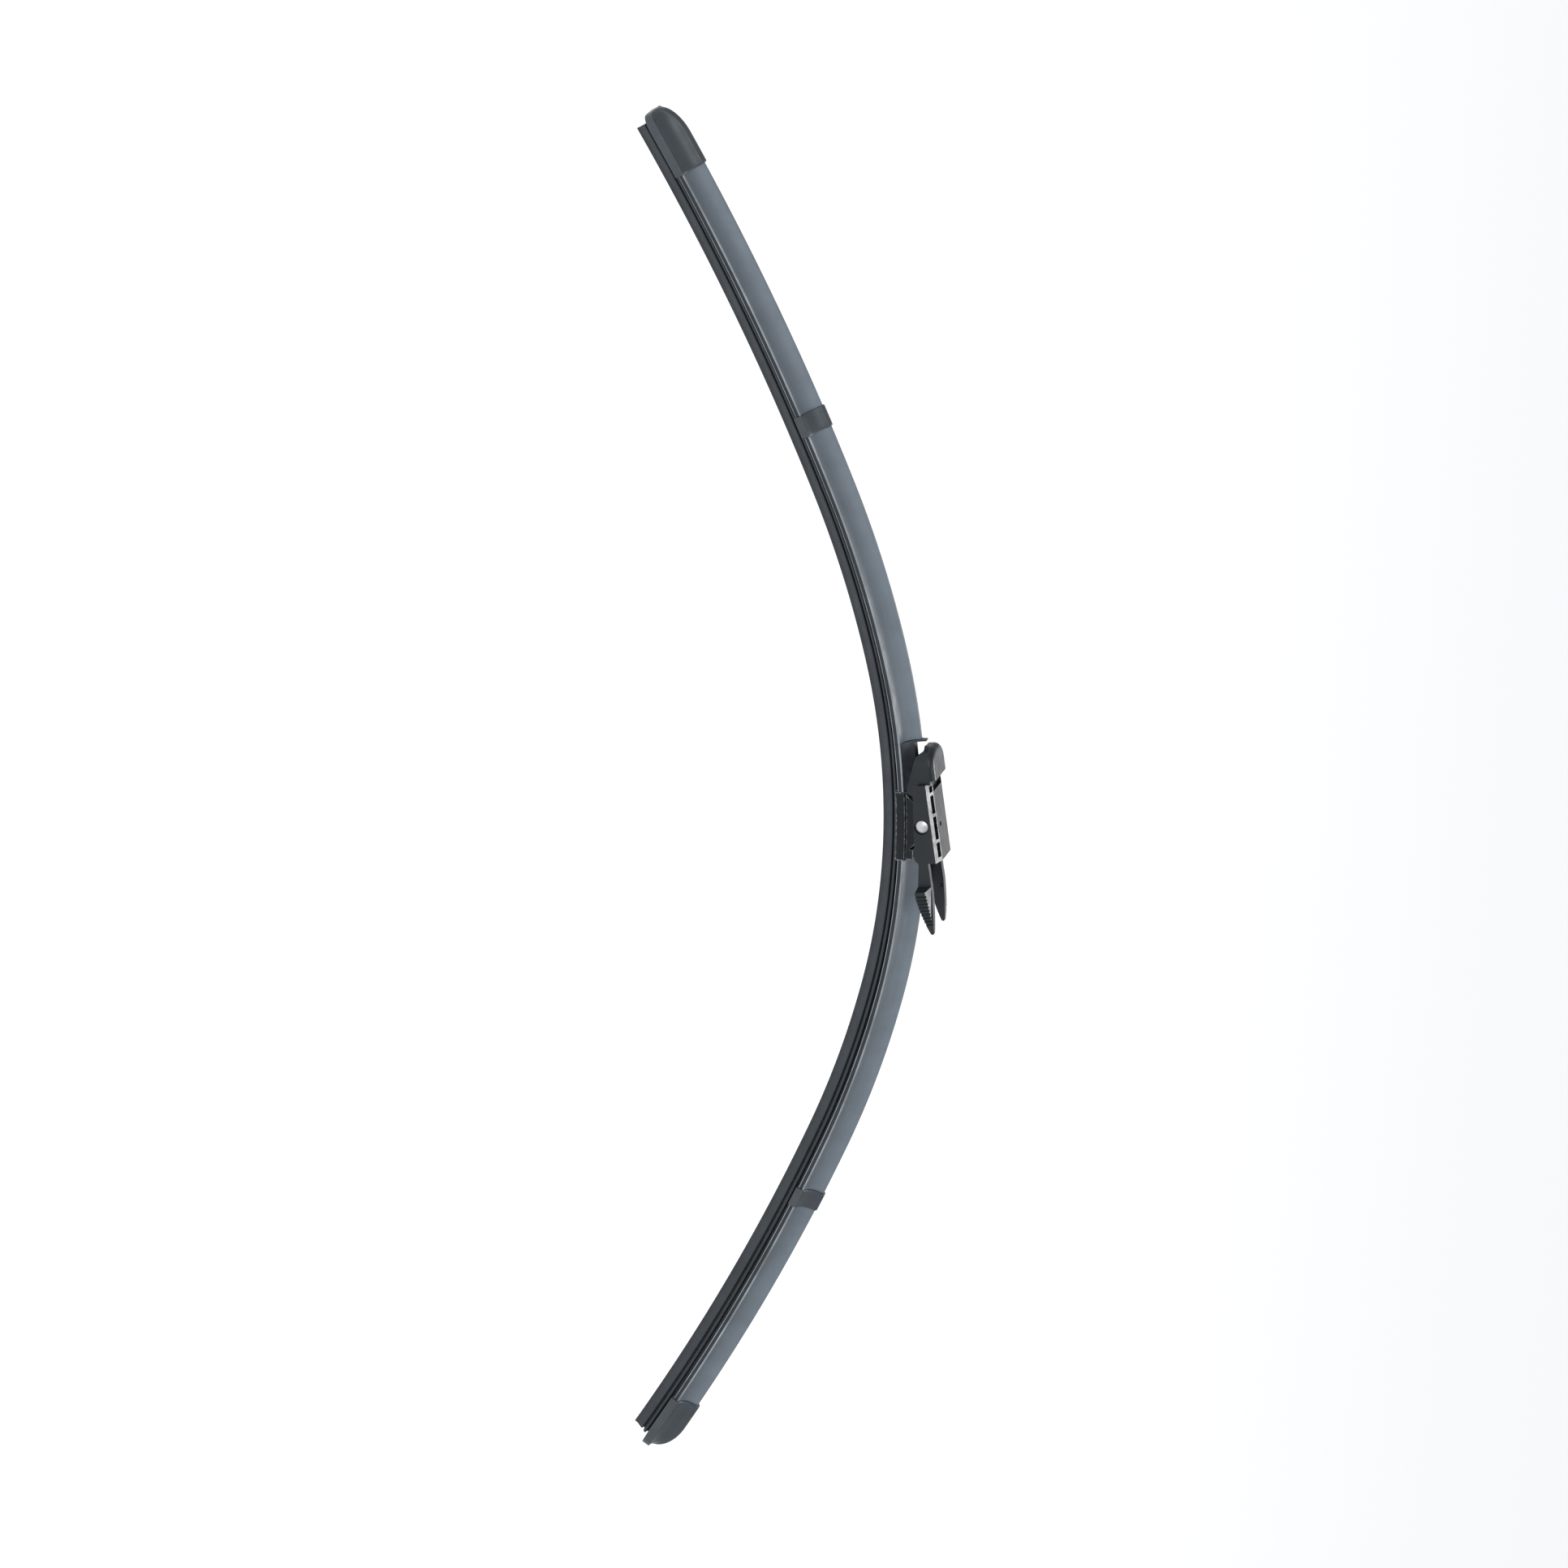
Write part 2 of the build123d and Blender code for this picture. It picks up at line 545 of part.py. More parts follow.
# ==== pinch tabs: a springy neck and a tapering ribbed pad ====
for name, side in (("pinch_tab_left", 1), ("pinch_tab_right", -1)):
    inner, outer = tab_middle - tab_half, tab_middle + tab_half
    pad_end_u, pad_end_y = tab_tip, inner + 1.2
    slope_y = (pad_end_y - pad_outer) / (pad_end_u - pad_front)
    with BuildPart() as pinch_tab:
        with BuildSketch(adapter_plan.offset(-8)):
            with BuildLine():
                outline = [(body_rear, side * inner), (body_rear, side * outer),
                           (pad_front - 0.8, side * outer), (pad_front, side * pad_outer)]
                for rib in range(rib_count):
                    foot = pad_front + 1.2 + rib * rib_pitch
                    for step, height in ((0, 0), (0.35, -rib_height), (0.75, -rib_height), (1.1, 0)):
                        y = pad_outer + slope_y * (foot + step - pad_front) + height
                        outline.append((foot + step, side * y))
                outline += [(pad_end_u, side * pad_end_y), (pad_end_u, side * inner)]
                Polyline(*outline, close=True)
            make_face()
            with Locations((body_rear, side * tab_middle)):
                Circle(tab_half)
        extrude(amount=14)
        with BuildSketch(adapter_side):
            with BuildLine():
                Line((body_rear - 2, neck_bottom), (body_rear - 2, neck_top))
                Line((body_rear - 2, neck_top), (25, neck_top))
                ThreePointArc((25, neck_top), (33, -0.1), (tab_tip - 0.4, -1.1))
                ThreePointArc((tab_tip - 0.4, -1.1), (tab_tip, -1.8), (tab_tip - 0.5, -2.4))
                ThreePointArc((tab_tip - 0.5, -2.4), (31.5, -4.4), (24.2, -4.9))
                Line((24.2, -4.9), (22.4, -4.4))
                Line((22.4, -4.4), (body_rear + 1, neck_bottom))
                Line((body_rear + 1, neck_bottom), (body_rear - 2, neck_bottom))
            make_face()
        extrude(amount=far, both=True, mode=Mode.INTERSECT)
        for u, top in ((pad_front - 1, neck_top + 0.05), (tab_tip + 0.5, -1.6)):   # slanted top face
            with BuildSketch(adapter_across(u)):
                with BuildLine():
                    Polyline((side * pad_ledge, top), (side * 14, top - (14 - pad_ledge) * bevel_slope),
                             (side * 14, 4), (side * pad_ledge, 4), close=True)
                make_face()
        loft(mode=Mode.SUBTRACT)
        dimple = u_axis * dimple_u + w_axis * dimple_w + Vector(0, side * (inner - 0.45), 0)
        with Locations(dimple):
            Sphere(dimple_radius, mode=Mode.SUBTRACT)
    finish(pinch_tab, name)
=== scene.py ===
"""Looks for the bowed beam wiper blade: fine meshes, materials, light and camera."""
import json
from math import cos, hypot, pi, radians, sin, sqrt

import bmesh
import bpy
from mathutils import Matrix, Vector


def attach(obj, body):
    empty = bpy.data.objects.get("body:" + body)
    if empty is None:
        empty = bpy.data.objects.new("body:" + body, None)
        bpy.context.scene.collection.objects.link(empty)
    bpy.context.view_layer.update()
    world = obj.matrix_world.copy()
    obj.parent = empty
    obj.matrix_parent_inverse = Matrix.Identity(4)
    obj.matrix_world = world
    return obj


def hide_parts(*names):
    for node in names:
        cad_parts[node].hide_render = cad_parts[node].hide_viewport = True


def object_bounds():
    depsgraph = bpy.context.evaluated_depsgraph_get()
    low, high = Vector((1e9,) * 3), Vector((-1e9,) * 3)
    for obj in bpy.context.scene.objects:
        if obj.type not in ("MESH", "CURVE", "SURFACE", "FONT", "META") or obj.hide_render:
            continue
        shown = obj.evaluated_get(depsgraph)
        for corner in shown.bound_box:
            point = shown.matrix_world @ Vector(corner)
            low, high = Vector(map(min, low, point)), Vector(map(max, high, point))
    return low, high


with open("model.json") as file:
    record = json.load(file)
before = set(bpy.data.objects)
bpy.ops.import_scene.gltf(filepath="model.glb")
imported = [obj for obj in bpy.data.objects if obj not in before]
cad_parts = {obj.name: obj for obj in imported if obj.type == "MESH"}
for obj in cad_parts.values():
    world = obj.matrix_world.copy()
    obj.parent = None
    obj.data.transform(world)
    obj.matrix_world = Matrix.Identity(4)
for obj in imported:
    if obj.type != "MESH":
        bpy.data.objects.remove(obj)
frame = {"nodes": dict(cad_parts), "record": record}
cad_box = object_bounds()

MM = 0.001                 # lengths below are in mm, as in the part's source, unless they say metres

# ------------------------------------------------------------------ the blade's bowed line
BEND_ZONES = ((63.5, 270.0), (63.5, 390.0), (150.0, 960.0))     # (arc length, radius)
FLANGE_DROP = 7.2          # from the rivet's axis down to the spoiler's flange line
RIVET_LEAD = 3.9           # how far the rivet sits ahead of the middle of the bow
END_SHIFT = 1.2            # how far the blade's two ends sit behind their even places

# ------------------------------------------------------------------ cross-section of the blade
FLANGE_HALF, FLANGE_TOP, FLANGE_BOTTOM = 6.0, 0.12, -1.95
FLANGE_ROUND = 0.28
LEDGE = 0.45               # flat strip between the flange's edge and the root of the fin
FIN_TOP, FIN_HALF, FIN_SHOULDER = 6.73, 0.8, 0.8    # its shoulder is this far below its top
FIN_HOLLOW = 1.1           # how far each side sinks inside the straight line from ridge to root
FULL_RISE = 5.8            # of the shoulder over the flange: with less, the hollow is shallower
LEAST_RISE = 0.05          # of the shoulder over the flange
FIN_SIDE = 7.6             # round the section from the middle of the ridge to the fin's root
CLAW_GAP_HALF, CLAW_TOP = 4.2, -1.4
SEAT_HALF, SEAT_TOP = 5.15, -0.4    # of the room for the strips
HEAD_HALF, HEAD_ROOM = 2.55, 0.45   # of the room for the rubber's head, with its top
CORE_FLOOR, CORE_HALF, CORE_TOP, CORE_HOLLOW = 1.2, 2.2, 4.8, 0.55
RING_STEP = 1.6            # between the rings of a loft along the blade
SHARP_STEP = 0.01          # on either side of a place where a section changes at once

# ------------------------------------------------------------------ places along the line
SPOILER_END = 257.6
CLIP_MIDDLE, CLIP_HALF, CLIP_WEB = 152.7, 3.9, 1.0
FRONT_STOP, REAR_STOP = -29.4, 14.5                 # of the spoilers, from the rivet
FAIRING_START, FAIRING_LENGTH = -29.3 - RIVET_LEAD, 17.9
CREST_TOP, CREST_FALL, CREST_END, SADDLE_TOP = 8.9, 0.8, 0.76, 4.2
RUBBER_END = 271.8
CAP_MOUTH, CAP_LENGTH, CAP_STRAIGHT, CAP_CORNER = 250.8, 24.0, 11.5, 3.6
RUBBER_OUT = 21.15         # from a cap's mouth to where its underside closes past the rubber


def station(distance):
    """x, z and downward slope of the flange line, in mm and radians."""
    side = -1 if distance < 0 else 1
    left, x, z, slope = abs(distance), 0.0, -FLANGE_DROP, 0.0
    for length, radius in BEND_ZONES:
        turn = min(left, length) / radius
        x += radius * (sin(slope + turn) - sin(slope))
        z -= radius * (cos(slope) - cos(slope + turn))
        slope += turn
        left -= min(left, length)
    return side * x + RIVET_LEAD, z, side * slope


def on_line(distance, y, v):
    """Point y across and v above the flange line, in metres."""
    x, z, slope = station(distance)
    return Vector((x + v * sin(slope), y, z + v * cos(slope))) * MM


# ------------------------------------------------------------------ outlines
def rounded(corners, steps=4):
    """Closed outline through (y, v, radius) corners, with each corner rounded."""
    outline = []
    count = len(corners)
    for i, (y, v, radius) in enumerate(corners):
        here = Vector((y, v))
        if radius <= 0:
            outline.append(here)
            continue
        before = Vector(corners[i - 1][:2]) - here
        after = Vector(corners[(i + 1) % count][:2]) - here
        reach = min(radius, 0.48 * before.length, 0.48 * after.length)
        start, end = here + before.normalized() * reach, here + after.normalized() * reach
        for k in range(steps + 1):
            t = k / steps
            outline.append(start.lerp(here, t).lerp(here.lerp(end, t), t))
    return outline


def mirrored(right_side):
    """Whole outline from its right half, given from the top middle round to the bottom middle."""
    left_side = [(-y, v, r) for y, v, r in reversed(right_side) if abs(y) > 1e-6]
    return right_side + left_side


def arc_points(start, end, sagitta, count):
    """Points strictly between start and end on an arc that sinks by sagitta to its right."""
    a, b = Vector(start), Vector(end)
    along = (b - a).normalized()
    normal = Vector((along.y, -along.x))
    points = []
    for k in range(1, count):
        t = k / count
        points.append(a.lerp(b, t) + normal * sagitta * (1 - (2 * t - 1) ** 2))
    return points


def fin_right(grow=0.0, top=FIN_TOP, half=FLANGE_HALF, bottom=FLANGE_BOTTOM, notch=CLAW_TOP,
              gap=CLAW_GAP_HALF):
    """Right half of a spoiler-like section, from the crest down to the middle of the underside."""
    crest, shoulder = top + grow, top - FIN_SHOULDER
    flange, upper = half + grow, FLANGE_TOP + grow / 2
    root = (flange - LEDGE, upper)
    fin = (FIN_HALF + grow, max(shoulder, upper + LEAST_RISE))
    side = []
    ridge_steps = 5
    for k in range(ridge_steps):
        a = pi / 2 * k / ridge_steps
        side.append((fin[0] * sin(a), fin[1] + (crest - fin[1]) * cos(a), 0))
    side.append((fin[0], fin[1], 0))
    sink = FIN_HOLLOW * min(1.0, (fin[1] - upper) / FULL_RISE)
    side += [(p.x, p.y, 0) for p in arc_points(fin, root, sink, 14)]
    side += [(*root, 0.25), (flange, upper, FLANGE_ROUND), (flange, -0.45, 0),
             (flange, bottom - grow, FLANGE_ROUND), (gap, bottom - grow, 0.15), (gap, notch, 0.08)]
    return side


# room for a strip, then for the rubber's head
SEAT_RIGHT = [(SEAT_HALF, CLAW_TOP, 0), (SEAT_HALF, SEAT_TOP, 0), (HEAD_HALF, SEAT_TOP, 0),
              (HEAD_HALF, HEAD_ROOM, 0), (0, HEAD_ROOM, 0)]


def spoiler_outline(grow=0.0, **size):
    """Whole section of a spoiler, or of a sleeve that is larger than one by grow."""
    return rounded(mirrored(fin_right(grow, **size) + SEAT_RIGHT))


def girth_of(outline):
    """Length once round an outline."""
    return sum((outline[k] - outline[k - 1]).length for k in range(len(outline)))


def core_outline():
    """Hollow inside the fin."""
    top, foot = (0.15, CORE_TOP), (CORE_HALF, CORE_FLOOR)
    right = [(0, CORE_TOP, 0), (*top, 0)]
    right += [(p.x, p.y, 0) for p in arc_points(top, foot, CORE_HOLLOW, 6)]
    right += [(*foot, 0), (0, CORE_FLOOR, 0)]
    return rounded(mirrored(right))


# ------------------------------------------------------------------ mesh building
def piece_from(bm, name, body, replaced, material, smooth_angle=35):
    """Object made of a finished bmesh, riding on a body and standing for the replaced nodes."""
    mesh = bpy.data.meshes.new(name)
    bm.to_mesh(mesh)
    bm.free()
    piece = bpy.data.objects.new(name, mesh)
    bpy.context.scene.collection.objects.link(piece)
    mesh.shade_smooth()
    mesh.set_sharp_from_angle(angle=radians(smooth_angle))
    mesh.materials.append(material)
    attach(piece, body)
    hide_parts(*replaced)
    return piece


def loft(rings, holes=()):
    """Closed mesh through (run, points) rings, alike in count, with any holes' rings inside it."""
    bm = bmesh.new()
    uv = bm.loops.layers.uv.new("run")
    end_loops = [[], []]
    for ring_set, inside in [(rings, False)] + [(hole, True) for hole in holes]:
        rows = [[bm.verts.new(p) for p in points] for _, points in ring_set]
        runs = [run for run, _ in ring_set]
        count = len(rows[0])
        girth = [0.0]
        middle = ring_set[len(ring_set) // 2][1]
        for k in range(count):
            girth.append(girth[-1] + (middle[(k + 1) % count] - middle[k]).length / MM)
        for i in range(len(rows) - 1):
            for k in range(count):
                n = (k + 1) % count
                quad = [rows[i][k], rows[i][n], rows[i + 1][n], rows[i + 1][k]]
                spots = [(runs[i], girth[k]), (runs[i], girth[k + 1]),
                         (runs[i + 1], girth[k + 1]), (runs[i + 1], girth[k])]
                if inside:
                    quad.reverse()
                    spots.reverse()
                face = bm.faces.new(quad)
                for loop, spot in zip(face.loops, spots):
                    loop[uv].uv = spot
        for end, row in ((0, rows[0]), (1, rows[-1])):
            end_loops[end].append(row)
    for loops in end_loops:
        if len(loops) == 1:
            bm.faces.new(loops[0])
            continue
        edges = []
        for row in loops:
            for k in range(len(row)):
                edges.append(bm.edges.get((row[k], row[(k + 1) % len(row)])))
        bmesh.ops.triangle_fill(bm, use_beauty=True, use_dissolve=False, edges=edges)
    bmesh.ops.recalc_face_normals(bm, faces=bm.faces)
    return bm


def rings_along(outline_at, distances):
    """(distance, points) for each distance, with outline_at giving the outline there."""
    return [(d, [on_line(d, p[0], p[1]) for p in outline_at(d)]) for d in distances]


def spaced(start, end, step):
    """Evenly spaced values from start to end, about step apart."""
    count = max(1, round(abs(end - start) / step))
    return [start + (end - start) * k / count for k in range(count + 1)]


# ------------------------------------------------------------------ materials
def node_material(name, base, roughness, grain=0.25, grain_size=0.25, mottle=0.15,
                  specular=0.5, metallic=0.0, streak=0.0, wear=0.0, wear_colour=(0.5, 0.52, 0.55),
                  wear_width=0.15, painted_shade_ramp=None):
    """Moulded, rubber or metal surface: mottled colour, uneven gloss, fine grain and worn edges.

    A streak runs along the blade, as extrusion leaves it; wear lightens the piece's edges;
    the tone ramp, on a streaked piece, is painted shade: darker at the fin's root and lighter up to
    its ridge.
    """
    material = bpy.data.materials.new(name)
    material.use_nodes = True
    nodes, links = material.node_tree.nodes, material.node_tree.links
    shader = nodes["Principled BSDF"]
    where = nodes.new("ShaderNodeTexCoord")

    def noise(scale, detail=3.0, rough=0.55, vector=None):
        node = nodes.new("ShaderNodeTexNoise")
        node.inputs["Scale"].default_value = scale
        node.inputs["Detail"].default_value = detail
        node.inputs["Roughness"].default_value = rough
        links.new(vector or where.outputs["Object"], node.inputs["Vector"])
        return node.outputs["Fac"]

    def mapped(value, low, high, out_low, out_high):
        node = nodes.new("ShaderNodeMapRange")
        for key, number in zip(("From Min", "From Max", "To Min", "To Max"),
                               (low, high, out_low, out_high)):
            node.inputs[key].default_value = number
        links.new(value, node.inputs["Value"])
        return node.outputs["Result"]

    def maths(kind, a, b):
        node = nodes.new("ShaderNodeMath")
        node.operation = kind
        for slot_number, value in ((0, a), (1, b)):
            if isinstance(value, (int, float)):
                node.inputs[slot_number].default_value = value
            else:
                links.new(value, node.inputs[slot_number])
        return node.outputs[0]

    def mixed(factor, a, b):
        node = nodes.new("ShaderNodeMix")
        node.data_type = "RGBA"
        links.new(factor, node.inputs["Factor"])
        for key, value in ((6, a), (7, b)):
            if isinstance(value, tuple):
                node.inputs[key].default_value = (*value, 1)
            else:
                links.new(value, node.inputs[key])
        return node.outputs[2]

    dark = tuple(c * (1 - mottle) for c in base)
    light = tuple(c * (1 + mottle) for c in base)
    broad = noise(90.0, 4.0)
    colour = mixed(mapped(broad, 0.35, 0.65, 0.0, 1.0), dark, light)
    fine = noise(250.0 / grain_size, 2.0)
    bump_height = maths("MULTIPLY", fine, grain)
    gloss = mapped(noise(260.0, 4.0), 0.3, 0.7, roughness - 0.06, roughness + 0.08)
    if streak:
        run = nodes.new("ShaderNodeUVMap")
        run.uv_map = "run"
        stretch = nodes.new("ShaderNodeMapping")
        stretch.inputs["Scale"].default_value = (0.012, 2.4, 1.0)
        links.new(run.outputs["UV"], stretch.inputs["Vector"])
        lines = noise(1.6, 3.0, 0.6, stretch.outputs["Vector"])
        colour = mixed(mapped(lines, 0.3, 0.7, 0.0, streak), colour, light)
        gloss = maths("ADD", gloss, mapped(lines, 0.3, 0.7, -0.05, 0.05))
        bump_height = maths("ADD", bump_height, maths("MULTIPLY", lines, 0.6 * streak))
    # painted shade and light: the colour is scaled down at the fin's root and up towards its ridge, as
    # light falls on the hollow sides
    if painted_shade_ramp:
        girth, root_shade, ridge_light = painted_shade_ramp
        split = nodes.new("ShaderNodeSeparateXYZ")
        links.new(run.outputs["UV"], split.inputs["Vector"])
        from_ridge = maths("MINIMUM", split.outputs["Y"], maths("SUBTRACT", girth, split.outputs["Y"]))
        tone = nodes.new("ShaderNodeVectorMath")
        tone.operation = "SCALE"
        links.new(colour, tone.inputs[0])
        links.new(mapped(from_ridge, FIN_SIDE / 4, FIN_SIDE, ridge_light, root_shade),
                  tone.inputs["Scale"])
        colour = tone.outputs["Vector"]
    if wear:
        edge = nodes.new("ShaderNodeBevel")
        edge.samples = 4
        edge.inputs["Radius"].default_value = wear_width * MM
        geometry = nodes.new("ShaderNodeNewGeometry")
        compare = nodes.new("ShaderNodeVectorMath")
        compare.operation = "DOT_PRODUCT"
        links.new(edge.outputs["Normal"], compare.inputs[0])
        links.new(geometry.outputs["Normal"], compare.inputs[1])
        edges = mapped(compare.outputs["Value"], 0.97, 0.80, 0.0, 1.0)
        patchy = mapped(noise(900.0, 3.0), 0.42, 0.58, 0.15, 1.0)
        rub = maths("MULTIPLY", maths("MULTIPLY", edges, patchy), wear)
        colour = mixed(rub, colour, wear_colour)
    links.new(colour, shader.inputs["Base Color"])
    links.new(gloss, shader.inputs["Roughness"])
    bump = nodes.new("ShaderNodeBump")
    bump.inputs["Strength"].default_value = 0.35
    bump.inputs["Distance"].default_value = 0.02 * MM
    links.new(bump_height, bump.inputs["Height"])
    links.new(bump.outputs["Normal"], shader.inputs["Normal"])
    shader.inputs["Metallic"].default_value = metallic
    shader.inputs["Specular IOR Level"].default_value = specular
    return material


M = {
    "wiping_rubber": node_material("wiping_rubber", (0.023, 0.029, 0.035), 0.46, grain=0.15,
                                   streak=0.5, mottle=0.2, specular=0.35),
    # the spoiler's colour carries painted shade at the fin's root and painted light up towards the
    # ridge
    "spoiler_elastomer": node_material("spoiler_elastomer", (0.125, 0.150, 0.176), 0.44, grain=0.2,
                                       streak=0.35, mottle=0.09, specular=0.35,
                                       painted_shade_ramp=(girth_of(spoiler_outline()), 0.80, 1.12)),
    "claw_base": node_material("claw_base", (0.014, 0.019, 0.023), 0.42, grain=0.2, streak=0.4,
                               specular=0.35),
    # lighter, patchy colour for the flange's rounded edges: painted highlight lines
    "claw_edge_highlight": node_material("claw_edge_highlight", (0.20, 0.225, 0.25), 0.38, grain=0.4, streak=0.6,
                               mottle=0.45, specular=0.5),
    # painted shade: the fairing is the spoiler's elastomer, coloured much darker for the shade under
    # the adapter's hood
    "fairing_elastomer": node_material("fairing_elastomer", (0.026, 0.032, 0.039), 0.42, wear=0.3,
                                       wear_colour=(0.16, 0.18, 0.21)),
    "cap_plastic": node_material("cap_plastic", (0.036, 0.046, 0.055), 0.36, grain=0.5,
                                 grain_size=0.35, mottle=0.1, wear=0.7, wear_width=0.3,
                                 wear_colour=(0.15, 0.17, 0.19)),
    "bracket_metal": node_material("bracket_metal", (0.008, 0.011, 0.013), 0.48, grain=0.4,
                                   wear=1.0, wear_width=0.4, specular=0.2,
                                   wear_colour=(0.75, 0.77, 0.80)),
    "plated_steel": node_material("plated_steel", (0.5, 0.5, 0.52), 0.3, metallic=1.0),
    "spring_steel": node_material("spring_steel", (0.42, 0.43, 0.45), 0.28, metallic=1.0),
    "rivet_steel": node_material("rivet_steel", (0.50, 0.51, 0.52), 0.36, metallic=1.0, mottle=0.1,
                                 grain=0.8, wear=0.2),
    "bush_plastic": node_material("bush_plastic", (0.7, 0.69, 0.64), 0.35),
    "adapter_plastic": node_material("adapter_plastic", (0.007, 0.011, 0.013), 0.34, grain=0.35,
                                     grain_size=0.4, mottle=0.15, wear=0.25, specular=0.33,
                                     wear_colour=(0.10, 0.11, 0.12), wear_width=0.12),
}
SLOT = {entry["node"]: entry["material_slot"] for entry in frame["record"]["subparts"]}
for node, thing in frame["nodes"].items():
    thing.data.materials.clear()
    thing.data.materials.append(M[SLOT[node]])


# ------------------------------------------------------------------ spoiler lengths
EDGE_REACH = 0.32          # of the painted highlight colour, from the middle of an edge's rounding
UPPER_EXTRA = 0.15         # how much wider the painted highlight is on the upper edge
BASE_TOP = 0.05            # height of the dark base, and of the middle of its upper edge
PLAIN, BASE, EDGE = range(3)


def colour_base(skin, outline, ring_count):
    """Dark material for the hard base of a spoiler section, and a lighter one on its rounded edges,
    painting the highlight lines along them.
    """
    skin.data.materials.append(M["claw_base"])
    skin.data.materials.append(M["claw_edge_highlight"])
    count = len(outline)
    kinds = []
    for k in range(count):
        middle = (outline[k] + outline[(k + 1) % count]) / 2
        y, v = abs(middle.x), middle.y
        upper = hypot(y - FLANGE_HALF, v - BASE_TOP) - UPPER_EXTRA
        lower = hypot(y - FLANGE_HALF, v - FLANGE_BOTTOM)
        kinds.append(EDGE if min(upper, lower) < EDGE_REACH else BASE if v < BASE_TOP else PLAIN)
    for face in skin.data.polygons[:count * (ring_count - 1)]:
        face.material_index = kinds[face.index % count]


SPOILERS = {"spoiler_outer_front": (END_SHIFT - SPOILER_END, -CLIP_MIDDLE - CLIP_WEB),
            "spoiler_inner_front": (-CLIP_MIDDLE + CLIP_WEB, FRONT_STOP - RIVET_LEAD),
            "spoiler_inner_rear": (REAR_STOP - RIVET_LEAD, CLIP_MIDDLE - CLIP_WEB),
            "spoiler_outer_rear": (CLIP_MIDDLE + CLIP_WEB, END_SHIFT + SPOILER_END)}
for name, (start, end) in SPOILERS.items():
    outline, core = spoiler_outline(), core_outline()
    places = spaced(start, end, RING_STEP)
    bm = loft(rings_along(lambda d: outline, places), [rings_along(lambda d: core, places)])
    skin = piece_from(bm, name + "_skin", "blade", (name,),
                      M["spoiler_elastomer"])
    colour_base(skin, outline, len(places))

# the filler under the adapter's hood: the same section, crested in front and cut low behind
fairing_full = spoiler_outline(top=CREST_TOP)


def fairing_outline(t):
    limit = CREST_TOP - CREST_FALL * t if t < CREST_END else SADDLE_TOP
    return [Vector((p.x, min(p.y, limit))) for p in fairing_full]


places = [0, 0.25, 0.5, CREST_END - SHARP_STEP, CREST_END + SHARP_STEP]
places += spaced(1.6, FAIRING_LENGTH, 1.5)
rings = [(t, [on_line(FAIRING_START + t, p.x, p.y) for p in fairing_outline(t)]) for t in places]
# its dark colour is painted shade under the adapter's hood
fairing = piece_from(loft(rings), "connector_fairing_skin", "blade", ("connector_fairing",),
                     M["fairing_elastomer"])
colour_base(fairing, fairing_full, len(places))

# ------------------------------------------------------------------ rubber element
# from the head, past the groove for a strip, the shoulders and the neck, to the lip's edge
RUBBER_RIGHT = [(0, 0.35, 0), (2.4, 0.35, 0.2), (2.4, -0.42, 0.05), (1.15, -0.42, 0.05),
                (1.15, -1.38, 0.05), (2.7, -1.38, 0.08), (2.7, -1.95, 0.15), (1.05, -2.15, 0.2),
                (1.05, -3.1, 0.2), (2.9, -3.4, 0.18), (2.9, -4.15, 0.2), (2.0, -4.5, 0.15),
                (0.42, -4.7, 0.15), (0.42, -5.1, 0.15), (1.7, -5.3, 0.15), (1.7, -5.75, 0.15),
                (0.36, -7.9, 0.5), (0.32, -9.1, 0.03), (0, -9.1, 0)]
rubber = rounded(mirrored(RUBBER_RIGHT))
places = spaced(END_SHIFT - RUBBER_END, END_SHIFT + RUBBER_END, RING_STEP)
bm = loft(rings_along(lambda d: rubber, places))
piece_from(bm, "rubber_profile", "blade", ("rubber_element",), M["wiping_rubber"])

# ------------------------------------------------------------------ spring strips
STRIP_END = 262.2
STRIP_INNER, STRIP_OUTER, STRIP_BOTTOM, STRIP_TOP = 1.2, 5.1, -1.35, -0.45
for name, side in (("spring_strip_left", 1), ("spring_strip_right", -1)):
    corners = [(STRIP_INNER, STRIP_BOTTOM), (STRIP_OUTER, STRIP_BOTTOM), (STRIP_OUTER, STRIP_TOP),
               (STRIP_INNER, STRIP_TOP)]
    strip = rounded([(side * y, v, 0.2) for y, v in corners])
    places = spaced(END_SHIFT - STRIP_END, END_SHIFT + STRIP_END, RING_STEP)
    bm = loft(rings_along(lambda d: strip, places))
    piece_from(bm, name + "_band", "blade", (name,), M["spring_steel"])


# ------------------------------------------------------------------ clips and end caps
# of a rim: its rounded length, its wall at the very end, and what the rounding adds to the wall
CLIP_RIM, CLIP_RIM_WALL, CLIP_RIM_RISE = 0.35, 0.32, 0.28
CAP_RIM, CAP_RIM_WALL, CAP_RIM_RISE = 0.6, 0.55, 0.30


def rim_wall(from_end, rim, wall, rise):
    """Wall of a sleeve over the spoiler, where its rim is rounded like a quarter of an ellipse."""
    ease = min(1.0, from_end / rim)
    return wall + rise * sqrt(max(0.0, 1 - (1 - ease) ** 2))


def clip_outline(from_end):
    """Section of a clip, at a distance from its nearer end."""
    return spoiler_outline(rim_wall(from_end, CLIP_RIM, CLIP_RIM_WALL, CLIP_RIM_RISE))


for name, side in (("spoiler_clip_front", -1), ("spoiler_clip_rear", 1)):
    middle = side * CLIP_MIDDLE
    from_ends = [0, 0.08, 0.2, CLIP_RIM, 1.5, CLIP_HALF]
    places = [middle - CLIP_HALF + t for t in from_ends]
    places += [middle + CLIP_HALF - t for t in reversed(from_ends[:-1])]
    bm = loft(rings_along(lambda d: clip_outline(CLIP_HALF - abs(d - middle)), places))
    piece_from(bm, name + "_shell", "blade", (name,), M["cap_plastic"])


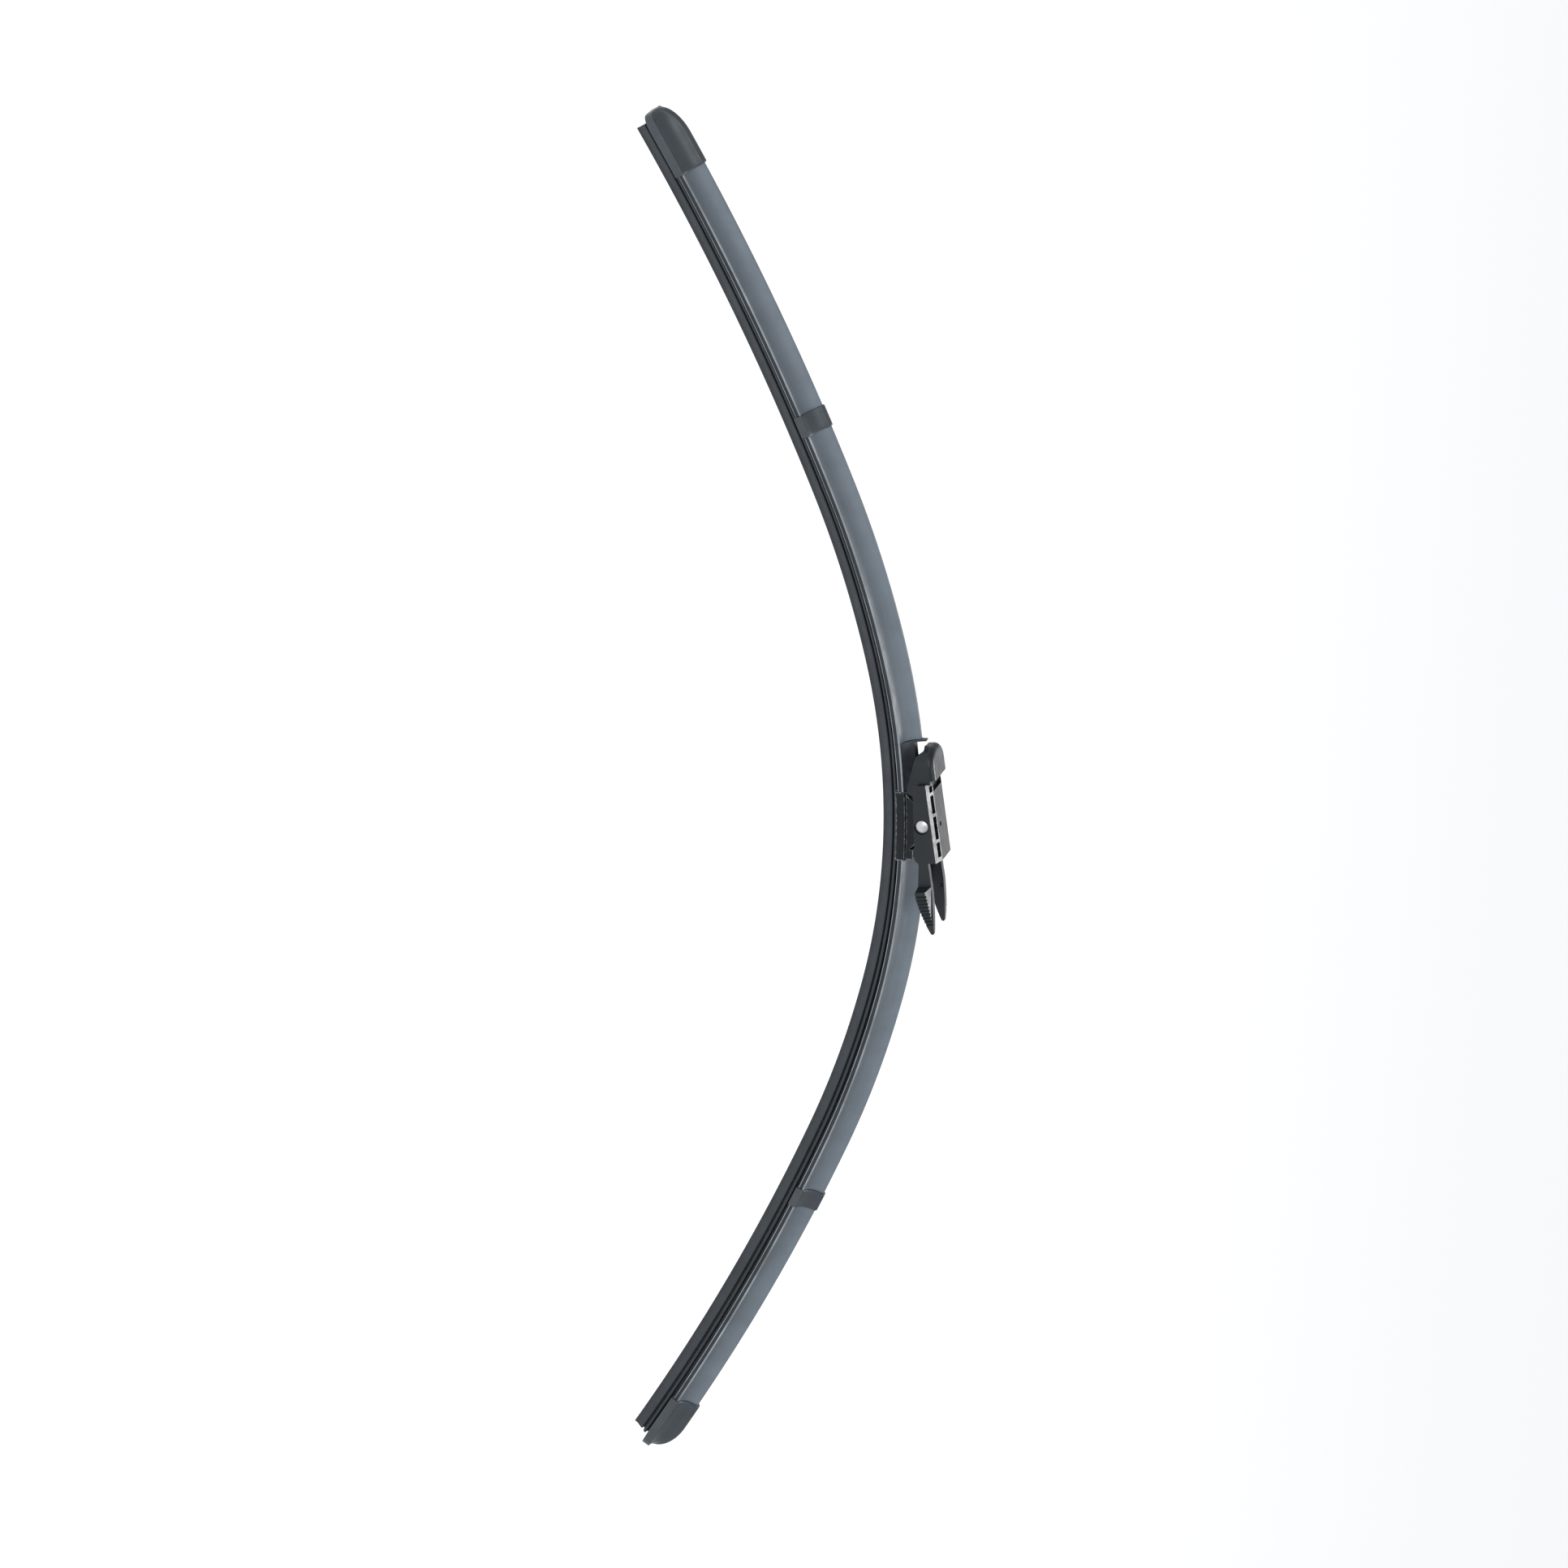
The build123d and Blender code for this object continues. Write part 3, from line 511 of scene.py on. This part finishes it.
CAP_TIP_TOP = 0.1          # height of a cap's top at its tip
CAP_BOTTOM, CAP_LIFT, LIFT_START = -1.85, 0.25, 18.0    # its underside rises a little to the tip
CAP_GAP_HALF, CAP_EDGE = 3.05, 1.2  # of the slot for the rubber, and the least width beside it


def cap_outline(t, closed):
    """Section of the end cap t from its mouth; its underside is closed past the rubber's end."""
    grow = rim_wall(t, CAP_RIM, CAP_RIM_WALL, CAP_RIM_RISE)
    fall = max(0.0, (t - CAP_STRAIGHT) / (CAP_LENGTH - CAP_STRAIGHT))
    top = CAP_TIP_TOP + (FIN_TOP - CAP_TIP_TOP) * sqrt(max(0.0, 1 - fall ** 2))
    tuck = max(0.0, t - (CAP_LENGTH - CAP_CORNER))
    half = FLANGE_HALF - CAP_CORNER + sqrt(max(0.0, CAP_CORNER ** 2 - tuck ** 2))
    bottom = CAP_BOTTOM + CAP_LIFT * max(0.0, t - LIFT_START) / (CAP_LENGTH - LIFT_START)
    notch = bottom - grow if closed else CLAW_TOP
    gap = min(CLAW_GAP_HALF if t < CAP_STRAIGHT else CAP_GAP_HALF, half - CAP_EDGE)
    right = fin_right(grow, top=top, half=half, bottom=bottom, notch=notch, gap=gap)
    if closed:
        seat = [(gap * k, notch, 0) for k in (0.9, 0.8, 0.6, 0.4)] + [(0, notch, 0)]
    elif t < CAP_STRAIGHT:
        seat = SEAT_RIGHT
    else:
        seat = [(2.9, -1.35, 0), (2.8, -0.6, 0), (2.7, 0.2, 0), (HEAD_HALF, HEAD_ROOM, 0),
                (0, HEAD_ROOM, 0)]
    return rounded(mirrored(right + seat))


for name, side in (("end_cap_front", -1), ("end_cap_rear", 1)):
    places = [(t, False) for t in (0, 0.1, 0.25, CAP_RIM, 2, 4, 6, 8, 10)]
    places += [(CAP_STRAIGHT - SHARP_STEP, False), (CAP_STRAIGHT + SHARP_STEP, False)]
    places += [(t, False) for t in spaced(12, RUBBER_OUT, 0.6)] + [(RUBBER_OUT, True)]
    places += [(CAP_LENGTH - CAP_CORNER * (1 - sin(radians(a))), True) for a in range(15, 91, 5)]
    rings = [(t, [on_line(END_SHIFT + side * (CAP_MOUTH + t), p[0], p[1])
                  for p in cap_outline(t, closed)]) for t, closed in places]
    piece_from(loft(rings), name + "_shell", "blade", (name,), M["cap_plastic"],
               smooth_angle=50)

# ------------------------------------------------------------------ studio
FLOOR_CLEARANCE = 0.07     # metres: room for the blade's front end at the end of its swing
floor_z = cad_box[0][2] - FLOOR_CLEARANCE
bpy.ops.mesh.primitive_plane_add(size=40, location=(0, 0, floor_z))
floor = bpy.context.object
floor.name = "floor"
paper = bpy.data.materials.new("floor_paper")
paper.use_nodes = True
paper_inputs = paper.node_tree.nodes["Principled BSDF"].inputs
paper_inputs["Base Color"].default_value = (0.93, 0.93, 0.93, 1)
paper_inputs["Roughness"].default_value = 0.9
paper_inputs["Emission Color"].default_value = (1, 1, 1, 1)
paper_inputs["Emission Strength"].default_value = 0.35
floor.data.materials.append(paper)

world = bpy.data.worlds.new("studio")
bpy.context.scene.world = world
world.use_nodes = True
COOL_WHITE = (0.97, 0.985, 1.0)
world.node_tree.nodes["Background"].inputs["Color"].default_value = (*COOL_WHITE, 1)
world.node_tree.nodes["Background"].inputs["Strength"].default_value = 0.62


def softbox(name, towards, distance, width, height, power, colour=(1, 1, 1)):
    """Area light in the given direction from the blade's middle, facing it, in metres and watts."""
    direction = Vector(towards).normalized()
    data = bpy.data.lights.new(name, "AREA")
    data.shape = "RECTANGLE"
    data.size, data.size_y = width, height
    data.energy = power
    data.color = colour
    lamp = bpy.data.objects.new(name, data)
    bpy.context.scene.collection.objects.link(lamp)
    lamp.location = direction * distance
    lamp.rotation_euler = (-direction).to_track_quat("-Z", "Y").to_euler()
    return lamp


overhead = softbox("overhead", (0.20, 0.44, 0.87), 1.6, 0.8, 0.4, 24)
overhead.visible_diffuse = False
softbox("fin_light", (0.37, -0.37, 0.85), 1.8, 0.9, 0.6, 7)
back = softbox("back_light", (0.28, 0.89, 0.35), 1.8, 1.0, 0.7, 1.9)
back.visible_diffuse = False
softbox("front_fill", (-0.30, -0.93, 0.22), 2.2, 1.6, 1.2, 14, COOL_WHITE)

# ------------------------------------------------------------------ camera
# the blade stands upright in the frame: its front end is up and its top faces right
TO_CAMERA = Vector((-0.3746, -0.8913, 0.2556))
IMAGE_RIGHT = Vector((-0.0129, 0.2806, 0.9597))
IMAGE_UP = Vector((-0.9271, 0.3562, -0.1166))
DISTANCE = 2.597           # metres, from the middle of the bow
LENS, SENSOR = 169.4, 36   # mm
AIM_RIGHT, AIM_UP = -0.0438, 0.0151    # metres, from the middle of the bow to the picture's
target = Vector((RIVET_LEAD, 0, -FLANGE_DROP)) * MM
eye = target + TO_CAMERA.normalized() * DISTANCE
aim = target + IMAGE_RIGHT * AIM_RIGHT + IMAGE_UP * AIM_UP
forward = (aim - eye).normalized()
right = forward.cross(IMAGE_UP).normalized()
up = right.cross(forward)
camera_data = bpy.data.cameras.new("photo_camera")
camera_data.sensor_width = SENSOR
camera_data.lens = LENS
camera_data.clip_end = 100
camera = bpy.data.objects.new("photo_camera", camera_data)
bpy.context.scene.collection.objects.link(camera)
camera.matrix_world = Matrix((
    (right.x, up.x, -forward.x, eye.x), (right.y, up.y, -forward.y, eye.y),
    (right.z, up.z, -forward.z, eye.z), (0, 0, 0, 1)))
bpy.context.scene.camera = camera
bpy.context.scene.view_settings.view_transform = "Standard"
